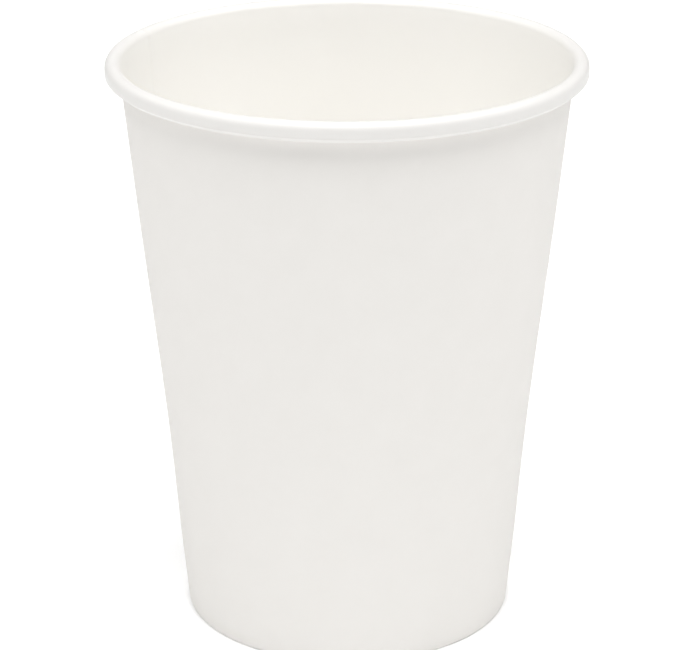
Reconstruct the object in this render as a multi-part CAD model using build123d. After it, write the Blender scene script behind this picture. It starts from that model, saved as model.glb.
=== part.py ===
from build123d import *
import os
from math import asin, atan2, cos, degrees, sin, sqrt

# Paper coffee cup, single wall, 12 oz (about 0.35 litre) size. Millimetres, +Z up.
# The origin is on the cup's axis, on the plane that the foot stands on.
#
# The cup is folded from two pieces of board. The side wall is a fan-shaped blank rolled to a
# cone. Its ends lap in a seam, its top edge is rolled outwards into the drinking rim, and its
# lower edge is folded inwards and up as a hem. The bottom is a round blank whose edge is turned
# down as a skirt, and the hem clamps that skirt against the wall.

# ---- Driving dimensions ----------------------------------------------------------------------

# The cup as a whole
cup_height = 110.0
rim_diameter = 90.0  # across the outside of the rolled rim
foot_diameter = 62.8  # where the line of the wall's outer face meets the foot plane

# The board
wall_board = 0.34
disc_board = 0.30
seal_gap = 0.02  # from each face of the skirt to the board beside it

# The rolled rim
curl_width = 3.0  # from the wall's inner face to the outside of the roll
curl_height = 3.7
curl_gap = 0.50  # from the wall's outer face to the board that turns up inside the roll
curl_tuck = 60.0  # degrees that the raw edge is rolled on, past upright

# The foot
hem_height = 7.0  # raw edge of the hem, above the foot plane
foot_press = 0.04  # how far the fold is pressed flat where it stands

# The bottom disc
recess_height = 8.5  # underside of the disc, above the foot plane
disc_bend = 0.9  # bend between disc and skirt, at the middle of the board
skirt_foot = 1.0  # raw edge of the skirt, above the foot plane

# The side seam
seam_lap = 6.5  # width of the double board
seam_rise = 0.28  # how far the outer lap stands out from the wall
seam_ramp = 1.5  # width over which the outer lap comes back down to the wall
seam_foot = 1.2  # the seam is pressed flat below this height
seam_angle = 160.0  # place of the seam about Z, from +X
seam_cut_depth = 1.0  # how far the wedges that shape the lap reach into the cup

# ---- The lean of the wall --------------------------------------------------------------------

# In a section, X is the radius and Y is the height. The wall's outer face starts at the foot
# point, and it is tangent to the inside of the roll.
curl_radius = curl_width / 2
curl_centre = Vector(rim_diameter / 2 - curl_radius, cup_height - curl_radius)
foot_point = Vector(foot_diameter / 2, 0)
foot_to_curl = curl_centre - foot_point
lean = atan2(foot_to_curl.X, foot_to_curl.Y) - asin((curl_radius - wall_board) / foot_to_curl.length)
up_wall = Vector(sin(lean), cos(lean))
out_wall = Vector(cos(lean), -sin(lean))


def at_height(point, height):
    """The point at this height, on the line through a point that leans as the wall does."""
    return point + up_wall * ((height - point.Y) / up_wall.Y)


# ---- Places in the section -------------------------------------------------------------------

# The fold goes round the skirt, so its size comes from the boards and the gaps between them.
fold_radius = (wall_board + disc_board + 2 * seal_gap) / 2
fold_outside = fold_radius + wall_board / 2
fold_height = fold_outside - foot_press
fold_centre = at_height(foot_point - out_wall * fold_outside, fold_height)

# The lower turn of the roll is tighter than the upper one, by the gap beside the wall.
roll_bottom = cup_height - curl_height
turn_inside = at_height(foot_point, roll_bottom).X + curl_gap
turn_radius = (rim_diameter / 2 - turn_inside) / 2
turn_height = roll_bottom + turn_radius


def turned(section):
    """The solid that a section makes when it is turned about the cup's axis."""
    return revolve(Plane.XZ * section, axis=Axis.Z)


# ---- The side wall ---------------------------------------------------------------------------


def folded_wall():
    """The blank as a full cone with its hem and its rolled rim, before it has a seam.

    The middle of the board is one line, from the hem's raw edge down to the fold, up the
    wall, over the rim and round to the raw edge inside the roll.
    """
    hem_end = fold_centre - out_wall * fold_radius
    wall_end = curl_centre - out_wall * (curl_radius - wall_board / 2)
    hem = Line(at_height(hem_end, hem_height), hem_end)
    fold = JernArc(hem @ 1, hem % 1, fold_radius, 180)
    wall = Line(fold @ 1, wall_end)
    top = JernArc(wall @ 1, wall % 1, curl_radius - wall_board / 2, degrees(lean) - 180)
    flank = Line(top @ 1, Vector((top @ 1).X, turn_height))
    turn = JernArc(flank @ 1, flank % 1, turn_radius - wall_board / 2, -180 - curl_tuck)
    board = trace(Curve() + [hem, fold, wall, top, flank, turn], wall_board)
    below_foot = Pos(0, -foot_diameter / 2) * Rectangle(2 * foot_diameter, foot_diameter)
    return turned(board - below_foot)


def wall_layer(inside, outside, top):
    """A cone that follows the wall, from the foot of the seam up to a height.

    Inside and outside are its two faces, measured outwards from the wall's outer face.
    """
    low = at_height(foot_point, seam_foot)
    high = at_height(foot_point, top)
    corners = [low + out_wall * inside, low + out_wall * outside]
    corners += [high + out_wall * outside, high + out_wall * inside]
    return turned(make_face(Polyline(*corners, close=True)))


def fall_back(radius, offset):
    """How far a circle lies behind its tangent line, this far along the line."""
    return radius - sqrt(radius**2 - offset**2)


def seam_wedge(radius, raw_edge):
    """A wedge that runs up the wall, cut square along a raw edge of the seam.

    Its slope is the ramp: it leaves a face of this radius at the ramp's end, and it is
    seam_rise clear of that face where the double board starts.
    """
    lap_start = -seam_lap / 2
    ramp_end = lap_start - seam_ramp
    ramp_end_x = radius - fall_back(radius, ramp_end)
    lap_start_x = radius + seam_rise - fall_back(radius, lap_start)
    slope = (lap_start_x - ramp_end_x) / seam_ramp
    root_x = ramp_end_x - seam_cut_depth
    tip = Vector(lap_start_x + slope * (raw_edge - lap_start), raw_edge)
    root = Vector(root_x, raw_edge)
    tail = Vector(root_x, ramp_end - seam_cut_depth / slope)
    wedge = make_face(Polyline(tip, root, tail, close=True))
    return extrude(wedge, amount=cup_height, dir=(up_wall.X, 0, up_wall.Y))


def side_wall():
    """The folded wall with its lapped seam, as one solid.

    The outer lap ends in a raw edge on the outside. The inner lap ends in a raw edge on the
    inside, where the board beyond it steps back and ramps down to the wall again.
    """
    inner_face = -wall_board
    outer_lap = wall_layer(inner_face / 2, seam_rise, turn_height)
    outer_lap &= seam_wedge(foot_point.X, seam_lap / 2)
    inner_step = wall_layer(inner_face - seam_rise, inner_face + seam_rise, roll_bottom)
    inner_step &= seam_wedge(foot_point.X + inner_face, -seam_lap / 2)
    return Rot(Z=seam_angle) * (folded_wall() + outer_lap - inner_step)


# ---- The bottom disc -------------------------------------------------------------------------


def bottom_disc():
    """The drawn disc, recessed above the foot, with its skirt between the wall and the hem."""
    disc_middle = recess_height + disc_board / 2
    corner = at_height(fold_centre, disc_middle)
    raw_edge = at_height(fold_centre, skirt_foot)
    middle = FilletPolyline(Vector(0, disc_middle), corner, raw_edge, radius=disc_bend)
    return turned(trace(middle, disc_board))


# ---- Files -----------------------------------------------------------------------------------

os.makedirs("parts", exist_ok=True)
for name, piece in {"side_wall": side_wall(), "bottom_disc": bottom_disc()}.items():
    export_step(piece, f"parts/{name}.step")
    print(f"{name}: {len(piece.solids())} solid, {piece.volume / 1000:.2f} cm3")
print(f"The wall leans {degrees(lean):.2f} degrees. The fold's middle radius is {fold_centre.X:.2f}.")
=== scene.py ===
# %% [markdown]
# # A paper coffee cup
#
# The cup is folded from two pieces of white board. A fan-shaped blank is rolled to a cone, lapped
# along a side seam, rolled outwards at the top into the drinking rim and folded inwards at the foot
# as a hem. A round blank is drawn to a shallow dish, and the hem clamps its skirt against the wall.
#
# Both pieces follow the same rule: a section of the board is carried round the cup's axis. So one
# Geometry Nodes tree makes them both, and the sections are short lists of lines and arcs.
#
# The construction model is the frame. It gives the sizes, and it stays where it is.

import math

import bpy
from mathutils import Matrix, Vector


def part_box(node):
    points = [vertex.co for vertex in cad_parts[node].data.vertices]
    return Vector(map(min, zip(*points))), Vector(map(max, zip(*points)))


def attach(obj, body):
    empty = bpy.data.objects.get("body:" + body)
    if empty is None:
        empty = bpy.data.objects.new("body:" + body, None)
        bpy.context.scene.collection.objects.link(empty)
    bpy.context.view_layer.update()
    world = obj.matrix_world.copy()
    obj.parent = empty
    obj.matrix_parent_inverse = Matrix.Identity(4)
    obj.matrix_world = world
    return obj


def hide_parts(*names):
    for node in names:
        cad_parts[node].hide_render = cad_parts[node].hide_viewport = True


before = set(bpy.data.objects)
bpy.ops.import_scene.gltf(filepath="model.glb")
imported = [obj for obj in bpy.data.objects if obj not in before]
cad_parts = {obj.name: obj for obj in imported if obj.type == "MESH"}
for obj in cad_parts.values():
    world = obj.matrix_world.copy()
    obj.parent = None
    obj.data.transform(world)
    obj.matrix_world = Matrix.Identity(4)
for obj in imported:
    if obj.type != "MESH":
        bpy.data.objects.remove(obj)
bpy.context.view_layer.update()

MM = 0.001
wall_low, wall_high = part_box("side_wall")
disc_low, disc_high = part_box("bottom_disc")
cup_height = wall_high.z
rim_radius = (wall_high.y - wall_low.y) / 2
disc_top = disc_high.z
skirt_foot = disc_low.z
print(f"cup {cup_height / MM:.1f} mm high, rim {2 * rim_radius / MM:.1f} mm, disc at {disc_top / MM:.1f} mm")

# %% [markdown]
# ## The camera
#
# The cup is seen from a little above through a long lens, so its sides stay almost straight and the
# rim is a flat ellipse. The camera comes first, because every later choice is judged through it.
# A long lens needs distance, and depth of field stays off so that the whole cup is sharp.

# %% Camera
CAMERA_BACK = 0.5078
CAMERA_HEIGHT = 0.2489
CAMERA_ASIDE = 0.00050
CAMERA_PITCH = math.radians(20.771)
CAMERA_ROLL = math.radians(-0.057)
CAMERA_LENS = 145.13

scene = bpy.context.scene
camera_data = bpy.data.cameras.new("camera")
camera_data.lens = CAMERA_LENS
camera_data.clip_start = 0.01
camera = bpy.data.objects.new("camera", camera_data)
camera.location = (CAMERA_ASIDE, -CAMERA_BACK, CAMERA_HEIGHT)
pitched = Matrix.Rotation(math.pi / 2 - CAMERA_PITCH, 3, "X")
rolled = Matrix.Rotation(CAMERA_ROLL, 3, "Z")
camera.rotation_euler = (pitched @ rolled).to_euler()
scene.collection.objects.link(camera)
scene.camera = camera
print(f"camera {math.hypot(CAMERA_BACK, CAMERA_HEIGHT - cup_height / 2):.2f} m from the cup")

# %% [markdown]
# ## The sections of the board
#
# A section is the line that one face of the board follows when the cup is cut down its axis. It is
# drawn on the sealed face, which is the inside of the cup and the outside of the rolled rim, and the
# board's thickness is grown from it towards the plain face. Each point also carries the direction
# of the plain face, how far it is along the board, how much of the seam's step shows there, and
# whether the hem's marks are pressed into it.

# %% Sizes of the board, the rim and the foot
WALL_BOARD = 0.34 * MM
DISC_BOARD = 0.30 * MM
SEAL_GAP = 0.02 * MM
FOOT_RADIUS = 31.4 * MM
FOOT_PRESS = 0.04 * MM
HEM_HEIGHT = 7.0 * MM
CURL_RADIUS = 1.50 * MM
CURL_HEIGHT = 3.7 * MM
CURL_GAP = 0.50 * MM
CURL_TUCK = math.radians(60)
LIP_RADIUS = 0.60 * MM
LIP_SLOPE = math.radians(52)
TUCK_RADIUS = 0.90 * MM
DISC_BEND = 0.9 * MM

curl_centre = Vector((rim_radius - CURL_RADIUS, cup_height - CURL_RADIUS))
foot_point = Vector((FOOT_RADIUS, 0))
foot_to_curl = curl_centre - foot_point
lean = math.atan2(*foot_to_curl) - math.asin((CURL_RADIUS - WALL_BOARD) / foot_to_curl.length)
up_wall = Vector((math.sin(lean), math.cos(lean)))
out_wall = Vector((math.cos(lean), -math.sin(lean)))
print(f"the wall leans {math.degrees(lean):.2f} degrees")


# %% Helpers that draw a section
def at_height(point, height):
    """The point at this height, on the line through a point that leans as the wall does."""
    return point + up_wall * ((height - point.y) / up_wall.y)


def line_points(start, end, count):
    """Points from start to end, without the end."""
    return [start.lerp(end, i / count) for i in range(count)]


def arc_points(centre, radius, start, turn, count):
    """Points round an arc, without its end. Angles are in radians, from +X."""
    angles = [start + turn * i / count for i in range(count)]
    return [centre + radius * Vector((math.cos(a), math.sin(a))) for a in angles]


def section_object(name, points, lapped, ribbed, pleated):
    """A polyline in the XZ plane whose points carry what the tree needs to know.

    The board lies to the right of the line's direction. The last three arguments are
    functions of a point's number and its place, and give the shares of the seam's step, of
    the hem's marks and of the pleats that show there.
    """
    mesh = bpy.data.meshes.new(name)
    edges = [(i, i + 1) for i in range(len(points) - 1)]
    mesh.from_pydata([(p.x, 0, p.y) for p in points], edges, [])
    values = {"run": [], "side": [], "lapped": [], "ribbed": [], "pleated": []}
    length = 0.0
    for i, point in enumerate(points):
        before = points[max(i - 1, 0)]
        after = points[min(i + 1, len(points) - 1)]
        along = (after - before).normalized()
        length += (point - before).length
        values["run"].append(length)
        values["side"] += (along.y, 0, -along.x)
        values["lapped"].append(lapped(i, point))
        values["ribbed"].append(ribbed(i, point))
        values["pleated"].append(pleated(i, point))
    for key, numbers in values.items():
        if key == "side":
            mesh.attributes.new(key, "FLOAT_VECTOR", "POINT").data.foreach_set("vector", numbers)
        else:
            mesh.attributes.new(key, "FLOAT", "POINT").data.foreach_set("value", numbers)
    print(f"{name}: {len(points)} points, {length / MM:.1f} mm of board")
    return bpy.data.objects.new(name, mesh)


# %% Places in the wall's section
skirt_half = DISC_BOARD / 2
fold_inside = skirt_half + SEAL_GAP
fold_outside = fold_inside + WALL_BOARD
fold_centre = at_height(foot_point - out_wall * fold_outside, fold_outside - FOOT_PRESS)

roll_bottom = cup_height - CURL_HEIGHT
tuck_inside = at_height(foot_point, roll_bottom).x + CURL_GAP
tuck_centre = Vector((tuck_inside + TUCK_RADIUS, roll_bottom + TUCK_RADIUS))
under_lip = Vector((math.cos(LIP_SLOPE), -math.sin(LIP_SLOPE)))
up_lip = Vector((math.sin(LIP_SLOPE), math.cos(LIP_SLOPE)))
lip_end = tuck_centre + under_lip * TUCK_RADIUS
lip_reach = rim_radius - LIP_RADIUS * (1 - under_lip.x) - lip_end.x
lip_start = lip_end + up_lip * (lip_reach / up_lip.x)
lip_centre = lip_start - under_lip * LIP_RADIUS

# %% [markdown]
# The wall is not quite a straight cone. A stiff rim and a stiff foot hold the board between them, and
# it draws in to a waist of a few tenths of a millimetre below the middle. The waist starts above the
# bottom disc, so that the wall keeps its seat on the disc's skirt.

# %% The wall's section
WAIST = 0.42 * MM
WAIST_FOOT = disc_top + 2 * MM
WAIST_SKEW = 0.6
LAP_FOOT = 1.2 * MM
LAP_PRESSED = 0.15
HEM_BORDER = 1.0 * MM


def waisted(point):
    """A point of the wall's line, drawn in towards the axis between the disc and the rim."""
    share = (point.y - WAIST_FOOT) / (roll_bottom - WAIST_FOOT)
    if not 0 < share < 1:
        return point
    return point - out_wall * WAIST * math.sin(math.pi * share**WAIST_SKEW) ** 3


hem_low = fold_centre - out_wall * fold_inside
wall_low_end = fold_centre + out_wall * fold_inside
wall_top_end = curl_centre - out_wall * CURL_RADIUS
flank_top = Vector((rim_radius, curl_centre.y))
flank_low = Vector((rim_radius, lip_centre.y))

hem_line = line_points(at_height(hem_low, HEM_HEIGHT), hem_low, 8)
fold_line = arc_points(fold_centre, fold_inside, math.pi - lean, math.pi, 8)
cone_line = [waisted(point) for point in line_points(wall_low_end, wall_top_end, 30)]
curl_line = arc_points(curl_centre, CURL_RADIUS, math.pi - lean, lean - math.pi, 16)
flank_line = line_points(flank_top, flank_low, 1)
lip_line = arc_points(lip_centre, LIP_RADIUS, 0, -LIP_SLOPE, 8) + line_points(lip_start, lip_end, 3)
tuck_line = arc_points(tuck_centre, TUCK_RADIUS, -LIP_SLOPE, LIP_SLOPE - math.pi - CURL_TUCK, 14)
tuck_end = tuck_centre + TUCK_RADIUS * Vector((-math.cos(CURL_TUCK), math.sin(CURL_TUCK)))
inside_line = hem_line + fold_line + cone_line + [wall_top_end]
rim_line = curl_line[1:] + flank_line + lip_line + tuck_line + [tuck_end]
rim_run = sum((b - a).length for a, b in zip(inside_line, inside_line[1:]))

wall_section = section_object(
    "wall_section",
    inside_line + rim_line,
    lapped=lambda i, p: min(max(p.y / LAP_FOOT, LAP_PRESSED), 1),
    ribbed=lambda i, p: float(i < len(hem_line) and HEM_BORDER < p.y < HEM_HEIGHT - HEM_BORDER),
    pleated=lambda i, p: 0.0,
)

# %% [markdown]
# The disc is drawn from a flat round blank. Its flat sags a little towards the middle, and where the
# board turns down into the skirt it has too much length to fit, so it crimps in small pleats.

# %% The disc's section
DISC_SAG = 0.25 * MM
bend_outside = DISC_BEND + skirt_half
bend_centre = at_height(fold_centre - out_wall * DISC_BEND, disc_top - bend_outside)
skirt_end = at_height(fold_centre + out_wall * skirt_half, skirt_foot)


def sagged(point):
    """A point of the disc's flat, a little lower towards the middle."""
    share = point.x / bend_centre.x
    return point - Vector((0, DISC_SAG * (1 - share**2) ** 2))


flat_line = line_points(Vector((0, disc_top)), Vector((bend_centre.x, disc_top)), 16)
bend_line = arc_points(bend_centre, bend_outside, math.pi / 2, -math.pi / 2 - lean, 8)
skirt_line = line_points(bend_centre + out_wall * bend_outside, skirt_end, 5) + [skirt_end]
pleat_rows = range(len(flat_line) - 1, len(flat_line) + len(bend_line))

disc_section = section_object(
    "disc_section",
    [sagged(point) for point in flat_line] + bend_line + skirt_line,
    lapped=lambda i, p: 0.0,
    ribbed=lambda i, p: 0.0,
    pleated=lambda i, p: float(i in pleat_rows),
)

# %% [markdown]
# ## The tree that rolls a board
#
# The tree carries a section round the axis as a grid: one row for each point of the section, and one
# column for each step round the cup. It is the sealed face of the board. The face is then extruded
# along each point's stored direction, which grows the board's thickness and its raw edges, and a
# flipped copy of the first face closes the back.
#
# A solid of revolution could not show the seam. Here the blank goes on past a full turn, and its last
# stretch climbs one board's thickness, so that it lies on its own beginning, with a raw edge outside
# and another inside, as on the real cup. The hem's marks are pressed by a toothed wheel, so they are
# a rule too: a wave that counts its ribs round the blank and takes a little off the thickness.


# %% Helpers that build a node tree
def node(tree, kind, inputs=None, **settings):
    """Adds a node, sets its properties, then fills or links its inputs, by name or by number."""
    made = tree.nodes.new(kind)
    for key, value in settings.items():
        setattr(made, key, value)
    for key, value in (inputs or {}).items():
        if isinstance(value, bpy.types.NodeSocket):
            tree.links.new(value, made.inputs[key])
        else:
            made.inputs[key].default_value = value
    return made


def maths(tree, operation, *values):
    """The result of a Math node."""
    return node(tree, "ShaderNodeMath", dict(enumerate(values)), operation=operation).outputs[0]


def vectors(tree, operation, *values):
    """The result of a Vector Math node."""
    return node(tree, "ShaderNodeVectorMath", dict(enumerate(values)), operation=operation).outputs[0]


def scaled(tree, vector, scale):
    """A vector times a number."""
    inputs = {"Vector": vector, "Scale": scale}
    return node(tree, "ShaderNodeVectorMath", inputs, operation="SCALE").outputs[0]


def ranged(tree, value, low, high, start=0.0, end=1.0, kind="LINEAR"):
    """Goes from start to end as the value goes from low to high, and stays between them."""
    inputs = {"Value": value, "From Min": low, "From Max": high, "To Min": start, "To Max": end}
    return node(tree, "ShaderNodeMapRange", inputs, interpolation_type=kind).outputs["Result"]


def named_sockets(tree, in_out, sockets):
    """Adds sockets to a tree. Each is a name, a type and, for a number, its starting value."""
    for name, kind, *start in sockets:
        socket = tree.interface.new_socket(name, in_out=in_out, socket_type="NodeSocket" + kind)
        if start:
            socket.default_value = start[0]


# %% The tree's inputs
MERGE = 0.001 * MM
SHARP_ANGLE = math.radians(40)

board_tree = bpy.data.node_groups.new("rolled board", "GeometryNodeTree")
named_sockets(
    board_tree,
    "INPUT",
    [
        ("Section", "Geometry"),
        ("Steps Round", "Int", 480),
        ("Board", "Float", WALL_BOARD),
        ("Lap Width", "Float", 0.0),
        ("Lap Climb", "Float", 0.0),
        ("Lap Board", "Float", WALL_BOARD),
        ("Ramp Width", "Float", MM),
        ("Seam Angle", "Float", 0.0),
        ("Rib Count", "Float", 120.0),
        ("Rib Depth", "Float", 0.0),
        ("Pleat Size", "Float", MM),
        ("Pleat Depth", "Float", 0.0),
        ("Wave Size", "Float", 30 * MM),
        ("Wave Depth", "Float", 0.0),
        ("Seed", "Float", 1.0),
        ("Round Blank", "Bool", False),
        ("Sealed Face", "Material"),
        ("Plain Face", "Material"),
        ("Raw Edge", "Material"),
    ],
)
named_sockets(board_tree, "OUTPUT", [("Piece", "Geometry")])


# %% The tree, from the section to the finished board
def build_board_tree(tree):
    """Fills the tree."""
    given = tree.nodes.new("NodeGroupInput").outputs
    section = given["Section"]

    # One row of the grid for each point of the section, one column for each step round.
    size = node(tree, "GeometryNodeAttributeDomainSize", {"Geometry": section}, component="MESH")
    rows = size.outputs["Point Count"]
    columns = maths(tree, "ADD", given["Steps Round"], 1)
    grid = node(tree, "GeometryNodeMeshGrid", {"Vertices X": columns, "Vertices Y": rows})
    index = tree.nodes.new("GeometryNodeInputIndex").outputs[0]
    column = maths(tree, "FLOOR", maths(tree, "DIVIDE", maths(tree, "ADD", index, 0.5), rows))
    row = maths(tree, "SUBTRACT", index, maths(tree, "MULTIPLY", column, rows))

    def from_section(source, kind):
        """A value of the section, read at this point's row."""
        inputs = {"Geometry": section, "Value": source.outputs[0], "Index": row}
        return node(tree, "GeometryNodeSampleIndex", inputs, data_type=kind).outputs[0]

    def stored(name, kind="FLOAT"):
        """An attribute of the section, read at this point's row."""
        source = node(tree, "GeometryNodeInputNamedAttribute", {"Name": name}, data_type=kind)
        return from_section(source, kind)

    position = tree.nodes.new("GeometryNodeInputPosition")
    place = node(tree, "ShaderNodeSeparateXYZ", {0: from_section(position, "FLOAT_VECTOR")}).outputs
    side = node(tree, "ShaderNodeSeparateXYZ", {0: stored("side", "FLOAT_VECTOR")}).outputs
    radius = place["X"]

    # How far round the blank a point is, and how far it is from each end of the blank.
    share = maths(tree, "DIVIDE", column, given["Steps Round"])
    lap_angle = maths(tree, "DIVIDE", given["Lap Width"], radius)
    whole_angle = maths(tree, "ADD", lap_angle, 2 * math.pi)
    width = maths(tree, "MULTIPLY", radius, whole_angle)
    from_start = maths(tree, "MULTIPLY", share, width)
    from_end = maths(tree, "SUBTRACT", width, from_start)
    half_lap = maths(tree, "MULTIPLY", lap_angle, 0.5)
    start_angle = maths(tree, "SUBTRACT", given["Seam Angle"], half_lap)
    angle = maths(tree, "ADD", start_angle, maths(tree, "MULTIPLY", share, whole_angle))
    ring = {"X": maths(tree, "COSINE", angle), "Y": maths(tree, "SINE", angle)}
    outwards = node(tree, "ShaderNodeCombineXYZ", ring).outputs[0]

    def turned(across, up):
        """A place or a direction in the section, carried round to this column."""
        upright = node(tree, "ShaderNodeCombineXYZ", {"Z": up}).outputs[0]
        return vectors(tree, "ADD", scaled(tree, outwards, across), upright)

    flat_place = turned(radius, place["Z"])
    plain_side = turned(side["X"], side["Z"])

    # The last stretch of the blank climbs on to the first.
    ramp_foot = maths(tree, "ADD", given["Lap Width"], given["Ramp Width"])
    climbed = ranged(tree, from_end, given["Lap Width"], ramp_foot, 1.0, 0.0, "SMOOTHSTEP")
    climb = maths(tree, "MULTIPLY", climbed, given["Lap Climb"])
    climb = maths(tree, "MULTIPLY", climb, stored("lapped"))

    # Long gentle waves over the whole board, and pleats where it was drawn round a bend.
    wave_inputs = {"Vector": flat_place, "W": given["Seed"], "Detail": 1.0}
    wave_inputs["Scale"] = maths(tree, "DIVIDE", 1.0, given["Wave Size"])
    wave = node(tree, "ShaderNodeTexNoise", wave_inputs, noise_dimensions="4D").outputs[0]
    wave = maths(tree, "MULTIPLY", maths(tree, "SUBTRACT", wave, 0.5), given["Wave Depth"])
    pleat_inputs = {"Vector": scaled(tree, outwards, radius), "W": given["Seed"], "Detail": 1.0}
    pleat_inputs["Scale"] = maths(tree, "DIVIDE", 1.0, given["Pleat Size"])
    pleat = node(tree, "ShaderNodeTexNoise", pleat_inputs, noise_dimensions="4D").outputs[0]
    pleat = maths(tree, "MULTIPLY", maths(tree, "SUBTRACT", pleat, 0.5), given["Pleat Depth"])
    pleat = maths(tree, "MULTIPLY", pleat, stored("pleated"))
    bend = maths(tree, "ADD", climb, maths(tree, "ADD", wave, pleat))
    sealed_place = vectors(tree, "ADD", flat_place, scaled(tree, plain_side, bend))
    face = node(tree, "GeometryNodeSetPosition", {"Geometry": grid.outputs[0], "Position": sealed_place})

    # Where each point lies on the flat blank, as a UV map in metres, for the finishes to follow.
    run = stored("run")
    across = maths(tree, "SUBTRACT", from_start, maths(tree, "MULTIPLY", width, 0.5))
    fan_blank = node(tree, "ShaderNodeCombineXYZ", {"X": across, "Y": run}).outputs[0]
    choice = {"Switch": given["Round Blank"], "False": fan_blank, "True": scaled(tree, outwards, run)}
    blank = node(tree, "GeometryNodeSwitch", choice, input_type="VECTOR").outputs[0]
    on_points = {"data_type": "FLOAT_VECTOR", "domain": "POINT"}
    blank = node(tree, "GeometryNodeFieldOnDomain", {"Value": blank}, **on_points).outputs[0]
    inputs = {"Geometry": face.outputs[0], "Name": "blank", "Value": blank}
    face = node(tree, "GeometryNodeStoreNamedAttribute", inputs, data_type="FLOAT2", domain="CORNER")

    # How far each point grows towards the plain face: less in the pressed lap and under the ribs.
    in_lap = maths(
        tree,
        "MAXIMUM",
        maths(tree, "LESS_THAN", from_start, given["Lap Width"]),
        maths(tree, "LESS_THAN", from_end, given["Lap Width"]),
    )
    board = ranged(tree, in_lap, 0.0, 1.0, given["Board"], given["Lap Board"])
    rib_rate = maths(tree, "MULTIPLY", given["Rib Count"], 2 * math.pi)
    rib_wave = maths(tree, "COSINE", maths(tree, "MULTIPLY", share, rib_rate))
    rib = ranged(tree, rib_wave, -1.0, 1.0, given["Rib Depth"], 0.0)
    board = maths(tree, "SUBTRACT", board, maths(tree, "MULTIPLY", rib, stored("ribbed")))
    growth = scaled(tree, plain_side, board)
    inputs = {"Geometry": face.outputs[0], "Name": "growth", "Value": growth}
    face = node(tree, "GeometryNodeStoreNamedAttribute", inputs, data_type="FLOAT_VECTOR", domain="POINT")

    # Close a full turn and the axis, then grow the board and put the sealed face back.
    inputs = {"Geometry": face.outputs[0], "Distance": MERGE}
    face = node(tree, "GeometryNodeMergeByDistance", inputs).outputs[0]
    inputs = {"Mesh": face, "Offset Scale": 0.0, "Individual": False}
    grown = node(tree, "GeometryNodeExtrudeMesh", inputs, mode="FACES")
    offset = node(tree, "GeometryNodeInputNamedAttribute", {"Name": "growth"}, data_type="FLOAT_VECTOR")
    inputs = {"Geometry": grown.outputs["Mesh"], "Selection": grown.outputs["Top"]}
    inputs["Offset"] = offset.outputs[0]
    plain = node(tree, "GeometryNodeSetPosition", inputs)
    back = node(tree, "GeometryNodeFlipFaces", {"Mesh": face})
    joined = tree.nodes.new("GeometryNodeJoinGeometry")
    tree.links.new(plain.outputs[0], joined.inputs[0])
    tree.links.new(back.outputs[0], joined.inputs[0])
    inputs = {"Geometry": joined.outputs[0], "Distance": MERGE}
    shell = node(tree, "GeometryNodeMergeByDistance", inputs).outputs[0]

    # Press the foot flat where it stands.
    here = node(tree, "ShaderNodeSeparateXYZ", {0: position.outputs[0]}).outputs
    pressed = {"X": here["X"], "Y": here["Y"], "Z": maths(tree, "MAXIMUM", here["Z"], 0.0)}
    inputs = {"Geometry": shell, "Position": node(tree, "ShaderNodeCombineXYZ", pressed).outputs[0]}
    shell = node(tree, "GeometryNodeSetPosition", inputs).outputs[0]

    # Smooth faces with sharp raw edges.
    shell = node(tree, "GeometryNodeSetShadeSmooth", {"Geometry": shell, "Shade Smooth": True}).outputs[0]
    fold_angle = tree.nodes.new("GeometryNodeInputMeshEdgeAngle").outputs["Unsigned Angle"]
    sharp = maths(tree, "GREATER_THAN", fold_angle, SHARP_ANGLE)
    inputs = {"Geometry": shell, "Selection": sharp, "Shade Smooth": False}
    shell = node(tree, "GeometryNodeSetShadeSmooth", inputs, domain="EDGE").outputs[0]
    shell = node(tree, "GeometryNodeRemoveAttribute", {"Geometry": shell, "Name": "growth"}).outputs[0]

    # A finish for each face of the board.
    shell = node(tree, "GeometryNodeRealizeInstances", {"Geometry": shell}).outputs[0]
    inputs = {"Geometry": shell, "Material": given["Sealed Face"]}
    shell = node(tree, "GeometryNodeSetMaterial", inputs).outputs[0]
    for faces, finish in (("Top", "Plain Face"), ("Side", "Raw Edge")):
        inputs = {"Geometry": shell, "Selection": grown.outputs[faces], "Material": given[finish]}
        shell = node(tree, "GeometryNodeSetMaterial", inputs).outputs[0]
    node(tree, "NodeGroupOutput", {"Piece": shell})


build_board_tree(board_tree)
print(f"{board_tree.name}: {len(board_tree.nodes)} nodes")

# %% [markdown]
# ## The finishes
#
# The outside is plain board: wood fibres pressed into a sheet, matte, and a little cloudy where the
# pulp lay thicker. The inside carries a thin sealing film. It follows the fibres, but it is smoother,
# and it has a soft sheen. The raw edges are cut through the fibres, so they are rough and a little
# whiter. All three share one group for the fibres and the clouds, each with its own values.


# %% The group that lays the fibres
FIBRE_ANGLES = (8, 68, 128)
FIBRE_CONTRAST = (0.42, 0.78)
CLOUD_CONTRAST = (0.25, 0.75)


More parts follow.
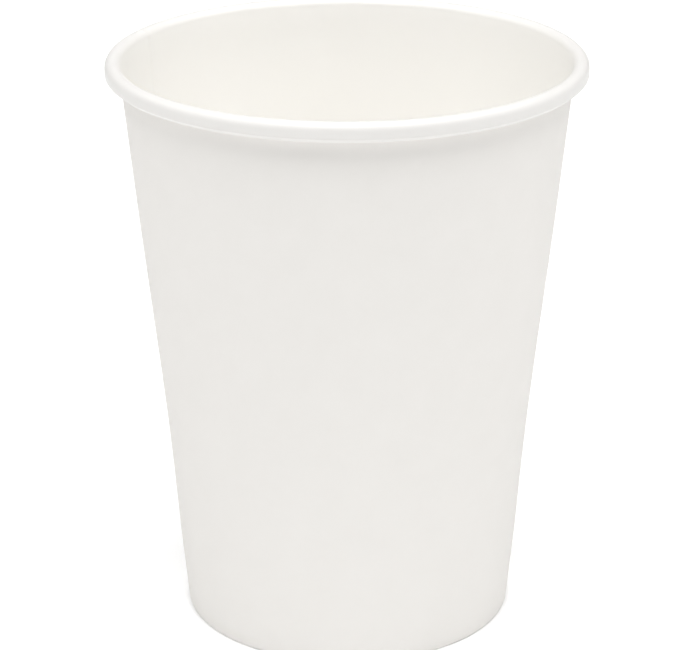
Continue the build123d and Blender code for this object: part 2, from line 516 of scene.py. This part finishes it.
def build_fibre_group():
    """Fibres as crossing sets of long thin noise, one at each angle, and clouds as broad noise."""
    tree = bpy.data.node_groups.new("board fibres", "ShaderNodeTree")
    named_sockets(
        tree,
        "INPUT",
        [
            ("Vector", "Vector"),
            ("Fibre Length", "Float", 1.6),
            ("Fibre Width", "Float", 0.22),
            ("Cloud Size", "Float", 6.0),
        ],
    )
    named_sockets(tree, "OUTPUT", [("Fibres", "Float"), ("Clouds", "Float")])
    given = tree.nodes.new("NodeGroupInput").outputs
    stretch = node(
        tree,
        "ShaderNodeCombineXYZ",
        {
            "X": maths(tree, "DIVIDE", 1.0, given["Fibre Length"]),
            "Y": maths(tree, "DIVIDE", 1.0, given["Fibre Width"]),
            "Z": 1.0,
        },
    ).outputs[0]
    layers = []
    for angle in FIBRE_ANGLES:
        inputs = {"Vector": given["Vector"], "Angle": math.radians(angle)}
        laid = node(tree, "ShaderNodeVectorRotate", inputs, rotation_type="Z_AXIS").outputs[0]
        inputs = {"Vector": vectors(tree, "MULTIPLY", laid, stretch), "Scale": 1.0, "Detail": 2.0}
        layers.append(node(tree, "ShaderNodeTexNoise", inputs).outputs[0])
    web = maths(tree, "MAXIMUM", maths(tree, "MAXIMUM", layers[0], layers[1]), layers[2])
    fibres = ranged(tree, web, *FIBRE_CONTRAST)
    cloud_scale = maths(tree, "DIVIDE", 1.0, given["Cloud Size"])
    inputs = {"Vector": given["Vector"], "Scale": cloud_scale, "Detail": 3.0, "Roughness": 0.55}
    cloud = node(tree, "ShaderNodeTexNoise", inputs).outputs[0]
    clouds = ranged(tree, cloud, *CLOUD_CONTRAST)
    node(tree, "NodeGroupOutput", {"Fibres": fibres, "Clouds": clouds})
    return tree


fibre_group = build_fibre_group()
print(f"{fibre_group.name}: {len(fibre_group.nodes)} nodes")


# %% A finish of the board
MIX_COLOURS = (6, 7)


def mixed(tree, factor, first, second):
    """Goes from the first colour to the second. Each is a colour or a socket.

    A Mix node has several sockets named A and B, so its two colours are found by number.
    """
    mix = node(tree, "ShaderNodeMix", data_type="RGBA")
    tree.links.new(factor, mix.inputs["Factor"])
    for number, colour in zip(MIX_COLOURS, (first, second)):
        if isinstance(colour, bpy.types.NodeSocket):
            tree.links.new(colour, mix.inputs[number])
        else:
            mix.inputs[number].default_value = (*colour, 1)
    return mix.outputs[2]


def board_material(name, light, dark, rough, dull, relief, specular, cloud_size, bands=()):
    """A finish that lies on the blank.

    light and dark are its colours where the pulp is thick and thin, rough and dull its
    roughness on and between the fibres, and relief the height of its fibres. Each band is a
    colour with the two places along the board between which the finish changes to it.
    """
    material = bpy.data.materials.new(name)
    material.use_nodes = True
    tree = material.node_tree
    shader = tree.nodes["Principled BSDF"].inputs
    blank = node(tree, "ShaderNodeUVMap", uv_map="blank").outputs[0]
    fibre = node(tree, "ShaderNodeGroup", node_tree=fibre_group)
    fibre.inputs["Cloud Size"].default_value = cloud_size
    tree.links.new(scaled(tree, blank, 1 / MM), fibre.inputs["Vector"])
    fibres = fibre.outputs["Fibres"]
    colour = mixed(tree, fibre.outputs["Clouds"], dark, light)
    run = node(tree, "ShaderNodeSeparateXYZ", {0: blank}).outputs["Y"]
    for tone, start, end in bands:
        share = ranged(tree, run, rim_run + start, rim_run + end, kind="SMOOTHSTEP")
        colour = mixed(tree, share, colour, tone)
    tree.links.new(colour, shader["Base Color"])
    tree.links.new(ranged(tree, fibres, 0.0, 1.0, dull, rough), shader["Roughness"])
    bump = node(tree, "ShaderNodeBump", {"Height": fibres, "Distance": relief})
    tree.links.new(bump.outputs[0], shader["Normal"])
    shader["Specular IOR Level"].default_value = specular
    return material


# %% [markdown]
# The sealed face is painted lighter than the plain face: painted light that brightens the inside of
# the cup. On the rolled rim a band brings it back to about the board's own tone, a little lighter on
# the roll's top as painted light, and a second band paints shade on the roll's outer flank. The
# changes follow the blank, so they lie at the same places all round. On the plain face the last few
# millimetres under the roll are painted paler: painted light that thins the roll's shade there.

# %% The three finishes
# About the board's own tone on the roll's top, a little lighter as painted light.
ROLL_TOP_TONE_AND_LIGHT = (0.790, 0.776, 0.754)
# Painted shade on the roll's outer flank.
FLANK_PAINTED_SHADE = (0.735, 0.722, 0.701)
# Painted light on the plain face just under the roll, which thins the roll's shade there.
UNDER_ROLL_PAINTED_LIGHT = (0.855, 0.836, 0.806)

plain_board = board_material(
    name="plain board",
    light=(0.777, 0.760, 0.733),
    dark=(0.766, 0.749, 0.721),
    rough=0.78,
    dull=0.92,
    relief=0.010 * MM,
    specular=0.30,
    cloud_size=6.0,
    # A band of painted light on the wall just under the roll.
    bands=[(UNDER_ROLL_PAINTED_LIGHT, -6.2 * MM, -2.6 * MM)],
)
sealed_board = board_material(
    name="sealed board",
    # Lighter than the plain face: painted light that brightens the inside of the cup.
    light=(0.970, 0.956, 0.924),
    dark=(0.962, 0.947, 0.912),
    rough=0.34,
    dull=0.44,
    relief=0.004 * MM,
    specular=0.45,
    cloud_size=9.0,
    # Bands of painted light on the roll's top and painted shade on its outer flank.
    bands=[(ROLL_TOP_TONE_AND_LIGHT, -0.5 * MM, 2.2 * MM), (FLANK_PAINTED_SHADE, 3.0 * MM, 4.6 * MM)],
)
raw_edge = board_material(
    name="raw edge",
    light=(0.860, 0.845, 0.820),
    dark=(0.790, 0.773, 0.745),
    rough=0.90,
    dull=1.00,
    relief=0.030 * MM,
    specular=0.20,
    cloud_size=1.5,
)

# %% [markdown]
# ## The two pieces
#
# Each piece is the tree's result with its own section and sizes, turned into a plain mesh. The seam
# is at the left side of the cup and a little to the back. Its lap is pressed a little thinner than
# two boards, and a trace of the sealing film stays between them.

# %% Rolling the pieces
STEPS_ROUND = 480
SEAM_LAP = 6.5 * MM
SEAM_RAMP = 1.5 * MM
SEAM_ANGLE = math.radians(160)
LAP_BOARD = 0.31 * MM
LAP_FILM = 0.01 * MM
RIB_COUNT = 120
RIB_DEPTH = 0.08 * MM
WALL_WAVE = 0.08 * MM
PLEAT_SIZE = 1.4 * MM
PLEAT_DEPTH = 0.06 * MM
DISC_SEED = 3


def rolled_piece(name, section, values):
    """Runs the tree on a section and returns the result as a plain mesh object."""
    sockets = {
        item.name: item.identifier
        for item in board_tree.interface.items_tree
        if item.item_type == "SOCKET" and item.in_out == "INPUT"
    }
    modifier = section.modifiers.new("rolled board", "NODES")
    modifier.node_group = board_tree
    for label, value in values.items():
        modifier[sockets[label]] = value
    scene.collection.objects.link(section)
    graph = bpy.context.evaluated_depsgraph_get()
    result = section.evaluated_get(graph)
    mesh = bpy.data.meshes.new_from_object(result, preserve_all_data_layers=True, depsgraph=graph)
    section.modifiers.remove(modifier)
    bpy.data.objects.remove(section)
    mesh.name = name
    if mesh.materials[0] is None:
        mesh.materials.pop(index=0)
    piece = bpy.data.objects.new(name, mesh)
    scene.collection.objects.link(piece)
    mesh.calc_loop_triangles()
    print(f"{name}: {len(mesh.loop_triangles)} triangles, finishes {[m.name for m in mesh.materials]}")
    return piece


finishes = {"Sealed Face": sealed_board, "Plain Face": plain_board, "Raw Edge": raw_edge}
wall = rolled_piece(
    "rolled_side_wall",
    wall_section,
    {
        "Steps Round": STEPS_ROUND,
        "Board": WALL_BOARD,
        "Lap Width": SEAM_LAP,
        "Lap Climb": LAP_BOARD + LAP_FILM,
        "Lap Board": LAP_BOARD,
        "Ramp Width": SEAM_RAMP,
        "Seam Angle": SEAM_ANGLE,
        "Rib Count": float(RIB_COUNT),
        "Rib Depth": RIB_DEPTH,
        "Wave Depth": WALL_WAVE,
        **finishes,
    },
)
disc = rolled_piece(
    "drawn_bottom_disc",
    disc_section,
    {
        "Steps Round": STEPS_ROUND,
        "Board": DISC_BOARD,
        "Pleat Size": PLEAT_SIZE,
        "Pleat Depth": PLEAT_DEPTH,
        "Seed": float(DISC_SEED),
        "Round Blank": True,
        **finishes,
    },
)

# %% [markdown]
# ## The studio
#
# A white cup on a white floor is told apart from it only by soft shade. A wide panel hangs above the
# cup and a little in front of it, so the floor is the brightest thing, the wall is a shade darker,
# and the rolled rim shades the board just below it. The floor is a lit white table: it fills the
# wall from below, and its own faint glow thins the cup's shadow. The glow fades just round the foot,
# where the cup stands in its own narrow shade. The rest of the room is dim.

# %% Floor
FLOOR_HALF = 3.0
FLOOR_WHITE = (0.97, 0.97, 0.97)
# The floor's tone in its painted contact shadow just round the foot.
FLOOR_SHADED = (0.95, 0.95, 0.95)
FLOOR_GLOW = 0.13
SHADE_WIDTH = 1.5 * MM

floor_mesh = bpy.data.meshes.new("floor")
floor_corners = [(x * FLOOR_HALF, y * FLOOR_HALF, 0) for x, y in ((-1, -1), (1, -1), (1, 1), (-1, 1))]
floor_mesh.from_pydata(floor_corners, [], [(0, 1, 2, 3)])
floor_material = bpy.data.materials.new("floor")
floor_material.use_nodes = True
floor_tree = floor_material.node_tree
floor_shader = floor_tree.nodes["Principled BSDF"]
floor_place = node(floor_tree, "ShaderNodeTexCoord").outputs["Object"]
measured = node(floor_tree, "ShaderNodeVectorMath", {0: floor_place}, operation="LENGTH")
from_axis = measured.outputs["Value"]
shade_end = FOOT_RADIUS + SHADE_WIDTH
# Painted contact shadow: within this width of the foot the floor is a little darker and its glow fades.
open_floor = ranged(floor_tree, from_axis, FOOT_RADIUS, shade_end, kind="SMOOTHSTEP")
floor_colour = mixed(floor_tree, open_floor, FLOOR_SHADED, FLOOR_WHITE)
floor_glow = maths(floor_tree, "MULTIPLY", open_floor, FLOOR_GLOW)
floor_tree.links.new(floor_colour, floor_shader.inputs["Base Color"])
floor_tree.links.new(floor_glow, floor_shader.inputs["Emission Strength"])
floor_shader.inputs["Emission Color"].default_value = (1, 1, 1, 1)
floor_shader.inputs["Roughness"].default_value = 0.9
floor_shader.inputs["Specular IOR Level"].default_value = 0.0
floor_mesh.materials.append(floor_material)
floor = bpy.data.objects.new("floor", floor_mesh)
scene.collection.objects.link(floor)


# %% Light panels
PANEL_DISTANCE = 1.6


def light_panel(name, around, up, width, height, power):
    """A soft panel that faces the cup. Its direction is in degrees round from the front, and up."""
    data = bpy.data.lights.new(name, "AREA")
    data.shape = "RECTANGLE"
    data.size = width
    data.size_y = height
    data.energy = power
    around = math.radians(around)
    up = math.radians(up)
    flat = math.cos(up) * PANEL_DISTANCE
    rise = math.sin(up) * PANEL_DISTANCE
    panel = bpy.data.objects.new(name, data)
    panel.location = (math.sin(around) * flat, -math.cos(around) * flat, rise)
    panel.rotation_euler = (math.pi / 2 - up, 0, around)
    scene.collection.objects.link(panel)


PANELS = {
    "front_panel": dict(around=0, up=62, width=1.8, height=0.7, power=14.0),
    "left_panel": dict(around=-90, up=50, width=1.4, height=1.0, power=7.2),
    "right_panel": dict(around=90, up=50, width=1.4, height=1.0, power=8.1),
    "overhead_panel": dict(around=0, up=88, width=1.2, height=0.8, power=6.3),
}
for panel_name, panel_values in PANELS.items():
    light_panel(panel_name, **panel_values)

# %% The white room
ROOM_LIGHT = 0.27

room = bpy.data.worlds.new("white room")
room.use_nodes = True
room_shader = room.node_tree.nodes["Background"]
room_shader.inputs["Color"].default_value = (1, 1, 1, 1)
room_shader.inputs["Strength"].default_value = ROOM_LIGHT
scene.world = room
scene.view_settings.view_transform = "Standard"
print("lights:", list(PANELS))

# %% [markdown]
# ## Tying the pieces to the frame
#
# Each piece rides on the cup's one body and stands in for the construction solid it was made to
# match. The floor is only a stage.

# %% Pieces and the frame
for piece, node_name, slot in (
    (wall, "side_wall", "wall_board"),
    (disc, "bottom_disc", "disc_board"),
):
    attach(piece, "root")
    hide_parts(node_name)
